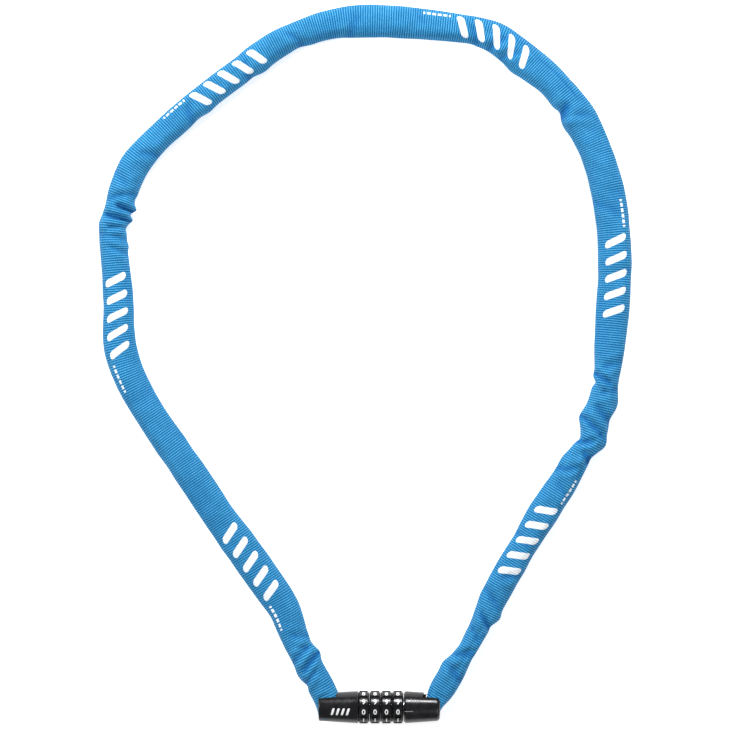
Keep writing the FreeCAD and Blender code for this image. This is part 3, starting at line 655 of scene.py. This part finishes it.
def tube_object(name, place, along):
    """A tube of rings with turned-in ends, and a UV map in metres along and around it."""
    around = place.shape[1]
    middles = place.mean(axis=1)
    turned_in = HEM_DEPTH / HEM_RUN
    inner_first = shrink(place[:1], HEM_THICKNESS)
    inner_first = inner_first + (middles[HEM_RINGS] - middles[0]) * turned_in
    inner_last = shrink(place[-1:], HEM_THICKNESS)
    inner_last = inner_last + (middles[-1 - HEM_RINGS] - middles[-1]) * turned_in
    rows = np.concatenate([inner_first, place, inner_last])
    vertices = rows.reshape(-1, 3)
    faces = []
    total = len(rows)
    for i in range(total - 1):
        for j in range(around):
            k = (j + 1) % around
            here, beyond = i * around, (i + 1) * around
            faces.append((here + j, beyond + j, beyond + k, here + k))
    faces.append(tuple(range(around)))
    faces.append(tuple(range((total - 1) * around, total * around))[::-1])
    mesh = bpy.data.meshes.new(name)
    mesh.from_pydata(vertices.tolist(), [], faces)
    add_fabric_uv(mesh, rows, along, around)
    for polygon in mesh.polygons:
        polygon.use_smooth = True
    mesh.update()
    sleeve = bpy.data.objects.new(name, mesh)
    bpy.context.collection.objects.link(sleeve)
    return sleeve


def shrink(ring, amount):
    centre = ring.mean(axis=1, keepdims=True)
    arm = ring - centre
    reach = np.linalg.norm(arm, axis=2, keepdims=True)
    return centre + arm * (1 - amount / np.maximum(reach, 1e-6))


def add_fabric_uv(mesh, rows, along, around):
    """Metres along the sleeve, and metres round it from the middle of its top."""
    step = np.linalg.norm(np.roll(rows, -1, axis=1) - rows, axis=2)
    reach = np.concatenate([np.zeros((len(rows), 1)), np.cumsum(step, axis=1)], axis=1)
    top = around // 4
    offset = reach[:, top:top + 1]
    u = np.concatenate([[along[0] - HEM_UV], along, [along[-1] + HEM_UV]])
    layer = mesh.uv_layers.new(name="fabric")
    total = len(rows)
    values = np.zeros((len(mesh.loops), 2))
    corner = 0
    for i in range(total - 1):
        for j in range(around):
            for row, column in ((i, j), (i + 1, j), (i + 1, j + 1), (i, j + 1)):
                values[corner] = (u[row], offset[row, 0] - reach[row, column])
                corner += 1
    layer.data.foreach_set("uv", values.ravel())


# ---- the lock's looks ----

def tint_nodes():
    """Give each carried-over node its material."""
    black_cap = plastic_material("cap_plastic_look", (0.004, 0.004, 0.005), 0.19, 0.000002)
    black_wheel = plastic_material("wheel_plastic_look", (0.004, 0.004, 0.005), 0.20, 0.000002)
    zinc = metal_material("zinc_look", (0.55, 0.56, 0.57), 0.45)
    steel = metal_material("steel_look", (0.66, 0.66, 0.65), 0.30, brushed=True)
    spring = metal_material("spring_look", (0.34, 0.35, 0.38), 0.28, brushed=True)
    brass = metal_material("brass_look", (0.72, 0.53, 0.26), 0.32, brushed=True)
    nylon = plain_material("nylon_look", (0.82, 0.80, 0.74), 0.5)
    looks = {
        "cap_plastic": black_cap, "wheel_plastic": black_wheel, "cast_zinc": zinc,
        "plated_steel": steel, "spring_steel": spring, "white_nylon": nylon,
        "disc_brass": brass, "chain_steel": steel,
    }
    for part in frame["record"]["subparts"]:
        look = looks.get(part["material_slot"])
        node = frame["nodes"].get(part["node"])
        if look and node:
            node.data.materials.clear()
            node.data.materials.append(look)


WHEELS = 4
NUMBERS = 10
AXIS_HEIGHT = 10.7 * MM
WHEEL_RADIUS = 10.7 * MM
NUMBER_PHASE = math.radians(8)
DIGIT_HEIGHT = 3.5 * MM
DIGIT_WEIGHT = 0.016
INK = 0.05 * MM
INK_STRIP = 0.45 * MM

CAP_END = 40 * MM
CAP_END_RADIUS = 9.0 * MM
CAP_FACE_RADIUS = 10.55 * MM
BARREL_FACE = 14.0 * MM
PLUG_FACE = 16.4 * MM

MARK_X = -25.6 * MM
MARK_TURN = math.asin(1.6 / 10.3)
MARK_PITCH = 3.3 * MM
MARK_LENGTH = 4.9 * MM
MARK_WIDTH = 1.5 * MM
MARK_SLANT = 0.3
INDEX_X = 19.4 * MM
INDEX_TURN = math.asin(1.2 / 10.45)
INDEX_HALF_LENGTH = 2.7 * MM
INDEX_HALF_WIDTH = 0.17 * MM


def text_mesh(text, height, weight):
    """A digit as a flat mesh centred on the origin, thickened by weight."""
    curve = bpy.data.curves.new("digit", "FONT")
    curve.body = text
    curve.size = 1.0
    curve.offset = weight
    curve.resolution_u = 6
    curve.fill_mode = "FRONT"
    holder = bpy.data.objects.new("digit", curve)
    bpy.context.collection.objects.link(holder)
    bpy.context.view_layer.update()
    graph = bpy.context.evaluated_depsgraph_get()
    mesh = bpy.data.meshes.new_from_object(holder.evaluated_get(graph))
    bpy.data.objects.remove(holder)
    places = np.array([tuple(v.co) for v in mesh.vertices])
    low, high = places.min(axis=0), places.max(axis=0)
    scale = height / (high[1] - low[1])
    places = (places - (low + high) / 2) * scale
    faces = [tuple(p.vertices) for p in mesh.polygons]
    bpy.data.meshes.remove(mesh)
    return places, faces


def wrap_round_axis(places, x, turn, radius_at):
    """Lay flat (x, y) places round the lock's axis; y runs towards +Y at the top."""
    along = x + places[:, 0]
    radius = radius_at(along) + INK
    angle = math.pi / 2 + turn - places[:, 1] / radius
    return np.stack([along, np.cos(angle) * radius, np.sin(angle) * radius + AXIS_HEIGHT], axis=1)


def inked_object(name, groups, material, radius_at, body):
    """Flat shapes laid round the axis as ink; each group is (places, faces, x, turn)."""
    joined = bmesh.new()
    for places, faces, x, turn in groups:
        flat = bmesh.new()
        corners = [flat.verts.new(tuple(p)) for p in places]
        for face in faces:
            flat.faces.new([corners[i] for i in face])
        cut_into_strips(flat, INK_STRIP)
        spots = np.array([tuple(v.co) for v in flat.verts])
        for vert, spot in zip(flat.verts, wrap_round_axis(spots, x, turn, radius_at)):
            vert.co = spot
        raised = bmesh.ops.extrude_face_region(flat, geom=flat.faces[:])
        for item in raised["geom"]:
            if isinstance(item, bmesh.types.BMVert):
                arm = Vector((0, item.co.y, item.co.z - AXIS_HEIGHT))
                item.co -= arm.normalized() * (3 * INK)
        bmesh.ops.recalc_face_normals(flat, faces=flat.faces[:])
        piece = bpy.data.meshes.new("piece")
        flat.to_mesh(piece)
        flat.free()
        joined.from_mesh(piece)
        bpy.data.meshes.remove(piece)
    mesh = bpy.data.meshes.new(name)
    joined.to_mesh(mesh)
    joined.free()
    mesh.materials.append(material)
    thing = bpy.data.objects.new(name, mesh)
    bpy.context.collection.objects.link(thing)
    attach(thing, body)
    return thing


def cut_into_strips(flat, step):
    """Cut flat faces with level lines so that they can follow a curve."""
    heights = [v.co.y for v in flat.verts]
    level = min(heights) + step
    while level < max(heights):
        geometry = flat.verts[:] + flat.edges[:] + flat.faces[:]
        bmesh.ops.bisect_plane(
            flat, geom=geometry, plane_co=(0, level, 0), plane_no=(0, 1, 0))
        level += step


def wheel_radius_at(x):
    return x * 0 + WHEEL_RADIUS


def add_numbers(material):
    digits = [text_mesh(str(n), DIGIT_HEIGHT, DIGIT_WEIGHT) for n in range(NUMBERS)]
    for wheel in range(WHEELS):
        low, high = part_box(f"number_wheel_{wheel + 1}")
        middle = (low[0] + high[0]) / 2
        groups = [
            (*digits[n], middle, NUMBER_PHASE + n * 2 * math.pi / NUMBERS)
            for n in range(NUMBERS)
        ]
        piece = inked_object(f"numbers_{wheel + 1}", groups, material, wheel_radius_at,
                             f"wheel_{wheel + 1}")


def outline_mesh(corners):
    """A flat closed outline as places and one face."""
    places = np.array([(x, y, 0.0) for x, y in corners])
    return places, [tuple(range(len(corners)))]


def pill(centre, length, width, slant, steps=7):
    """A bar with round ends, standing across and slanted."""
    corners = []
    for end, turn in ((1, 0.0), (-1, math.pi)):
        for k in range(steps):
            angle = turn + math.pi * k / (steps - 1)
            x = math.cos(angle) * width / 2
            y = math.sin(angle) * width / 2 + end * (length - width) / 2
            corners.append((centre + x + slant * y, y))
    return outline_mesh(corners)


def add_cap_prints(material):
    """A row of slanted bars on the barrel cap and a faint index line on the plug cap."""
    faint = ink_material("grey_ink", (0.32, 0.33, 0.33))
    bars = [
        (*pill(k * MARK_PITCH, MARK_LENGTH, MARK_WIDTH, MARK_SLANT), MARK_X, MARK_TURN)
        for k in (-1.5, -0.5, 0.5, 1.5)
    ]
    piece = inked_object("barrel_cap_print", bars, material, cap_radius_at, "barrel")
    x, y = INDEX_HALF_LENGTH, INDEX_HALF_WIDTH
    line = (*outline_mesh([(-x, -y), (x, -y), (x, y), (-x, y)]), INDEX_X, INDEX_TURN)
    piece = inked_object("plug_cap_index", [line], faint, cap_radius_at, "plug")


def cap_radius_at(x):
    """Outer radius of the tapered caps at a place along the axis."""
    face = np.where(x < 0, BARREL_FACE, PLUG_FACE)
    share = np.clip((CAP_END - np.abs(x)) / (CAP_END - face), 0, 1)
    return CAP_END_RADIUS + (CAP_FACE_RADIUS - CAP_END_RADIUS) * share


def main():
    add_camera()
    add_stage()
    for light in LIGHTS:
        add_light(*light)
    tint_nodes()
    sleeve, centres = build_sleeve()
    sleeve.data.materials.append(weave_material())
    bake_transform(sleeve)
    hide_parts("barrel_sleeve", "plug_sleeve")
    ink = ink_material("white_ink", (0.86, 0.87, 0.87))
    add_numbers(ink)
    add_cap_prints(ink)


main()
